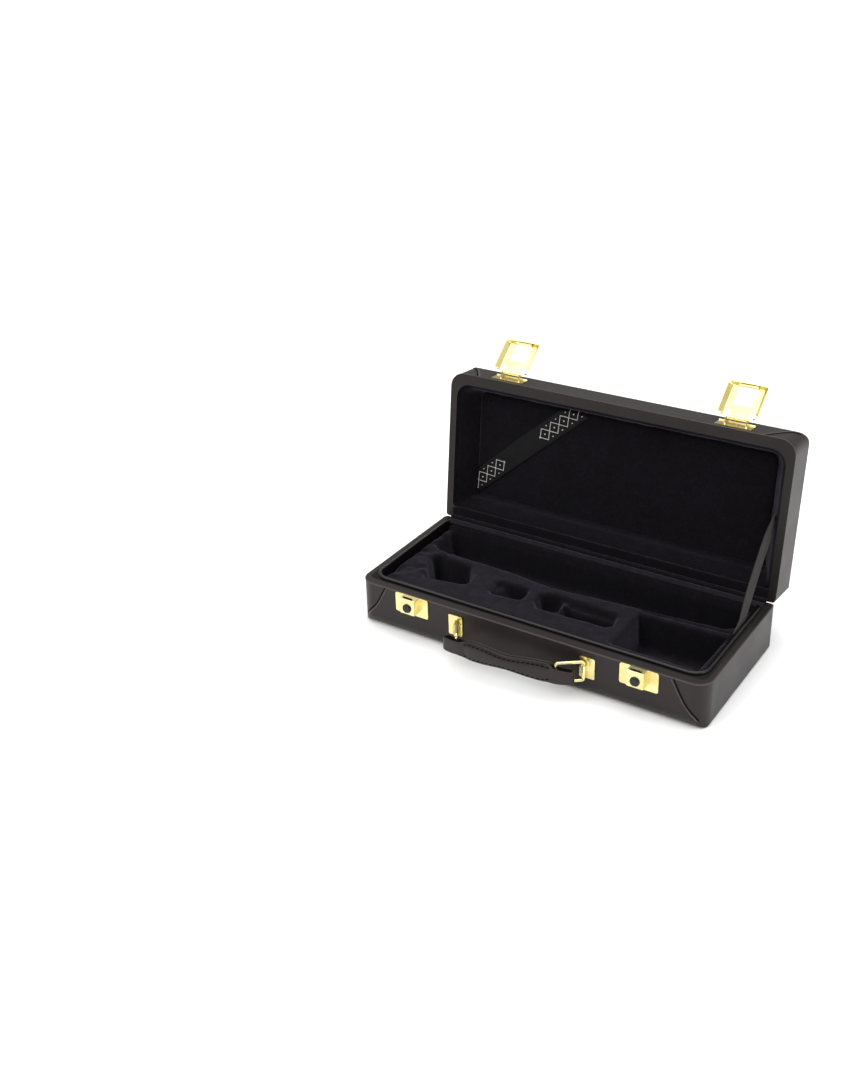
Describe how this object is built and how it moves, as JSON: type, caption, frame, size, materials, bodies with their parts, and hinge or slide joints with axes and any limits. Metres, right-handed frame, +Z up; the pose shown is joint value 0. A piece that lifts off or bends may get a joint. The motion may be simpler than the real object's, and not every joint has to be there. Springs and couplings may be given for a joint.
{
  "type": "clarinet case",
  "caption": "Leather-covered clarinet case with a hinged lid on a webbing stay, snap latches, ring-hung carrying handle and a fitted plush interior.",
  "frame": {"origin": "centre of the flat bottom of the base half, on the plane that it rests on", "axes": "+X along the case to the right seen from the handle side, +Y from the handle side to the hinge side, +Z up"},
  "size_m": [0.35, 0.2388, 0.2273],
  "materials": {
    "leather": "satin",
    "rim_leather": "satin",
    "plywood": "sawn",
    "plush": "short velvet pile",
    "satin": "woven satin",
    "webbing": "woven twill tape",
    "brass": "polished lacquered",
    "steel": "zinc plated",
    "button": "gloss black",
    "board": "stiffener"
  },
  "bodies": {
    "base": {"back_strip": "plush", "base_cover": "leather", "base_end_left": "leather", "base_end_right": "leather", "base_insert": "plush", "base_lip": "rim_leather", "base_rim": "rim_leather", "base_shell": "plywood", "bracket_left": "brass", "bracket_right": "brass", "bracket_rivets": "brass", "button_spring_left": "steel", "button_spring_right": "steel", "hinge_base_left": "steel", "hinge_base_right": "steel", "hinge_pin_left": "steel", "hinge_pin_right": "steel", "hinge_screws_base": "steel", "lock_block_left": "brass", "lock_block_right": "brass", "lock_plate_left": "brass", "lock_plate_right": "brass", "lock_rivets": "brass", "stay_strap": "webbing", "strap_tack_base": "brass"},
    "lid": {"flap_pin_left": "brass", "flap_pin_right": "brass", "flap_plate_left": "brass", "flap_plate_right": "brass", "flap_rivets": "brass", "hinge_lid_left": "steel", "hinge_lid_right": "steel", "hinge_screws_lid": "steel", "lid_cover": "leather", "lid_end_left": "leather", "lid_end_right": "leather", "lid_lining": "plush", "lid_pad": "plush", "lid_rim": "rim_leather", "lid_shell": "plywood", "ribbon": "satin", "strap_tack_lid": "brass"},
    "flap_left": {"flap_left": "brass"},
    "flap_right": {"flap_right": "brass"},
    "button_left": {"button_left": "button"},
    "button_right": {"button_right": "button"},
    "catch_left": {"catch_left": "steel"},
    "catch_right": {"catch_right": "steel"},
    "ring_left": {"ring_left": "brass"},
    "ring_right": {"ring_right": "brass"},
    "handle": {"handle_grip": "leather", "handle_core": "board"}
  },
  "joints": [
    {"name": "lid_hinge", "type": "hinge", "parent": "base", "child": "lid", "pos_m": [0, 0.077, 0.045], "axis": [1, 0, 0], "range_deg": [0, 96.2], "deforming": ["stay_strap", "back_strip"]},
    {"name": "flap_left_hinge", "type": "hinge", "parent": "lid", "child": "flap_left", "pos_m": [-0.115, 0.1081, 0.20166], "axis": [1, 0, 0], "range_deg": [0, 133]},
    {"name": "button_left_press", "type": "slide", "parent": "base", "child": "button_left", "axis": [0, 1, 0], "range_m": [0, 0.0015], "stiffness_N_per_m": 900, "deforming": ["button_spring_left"]},
    {"name": "catch_left_slide", "type": "slide", "parent": "base", "child": "catch_left", "axis": [0, 0, -1], "range_m": [0, 0.0013]},
    {"name": "flap_right_hinge", "type": "hinge", "parent": "lid", "child": "flap_right", "pos_m": [0.115, 0.1081, 0.20166], "axis": [1, 0, 0], "range_deg": [0, 133]},
    {"name": "button_right_press", "type": "slide", "parent": "base", "child": "button_right", "axis": [0, 1, 0], "range_m": [0, 0.0015], "stiffness_N_per_m": 900, "deforming": ["button_spring_right"]},
    {"name": "catch_right_slide", "type": "slide", "parent": "base", "child": "catch_right", "axis": [0, 0, -1], "range_m": [0, 0.0013]},
    {"name": "handle_pull", "type": "slide", "parent": "base", "child": "handle", "axis": [0, -1, 0], "range_m": [0, 0.0045]},
    {"name": "ring_left_swing", "type": "hinge", "parent": "base", "child": "ring_left", "pos_m": [-0.065, -0.0795, 0.0256], "axis": [0, 0, -1], "range_deg": [0, 26.05]},
    {"name": "ring_right_swing", "type": "hinge", "parent": "base", "child": "ring_right", "pos_m": [0.065, -0.0795, 0.0256], "axis": [0, 0, 1], "range_deg": [0, 14.85]}
  ],
  "couplings": [
    {"joint": "catch_left_slide", "follows": "button_left_press", "ratio": 0.8666},
    {"joint": "catch_right_slide", "follows": "button_right_press", "ratio": 0.8666},
    {"joint": "ring_left_swing", "follows": "handle_pull", "rad_per_m": 100.84},
    {"joint": "ring_right_swing", "follows": "handle_pull", "rad_per_m": 57.402}
  ]
}
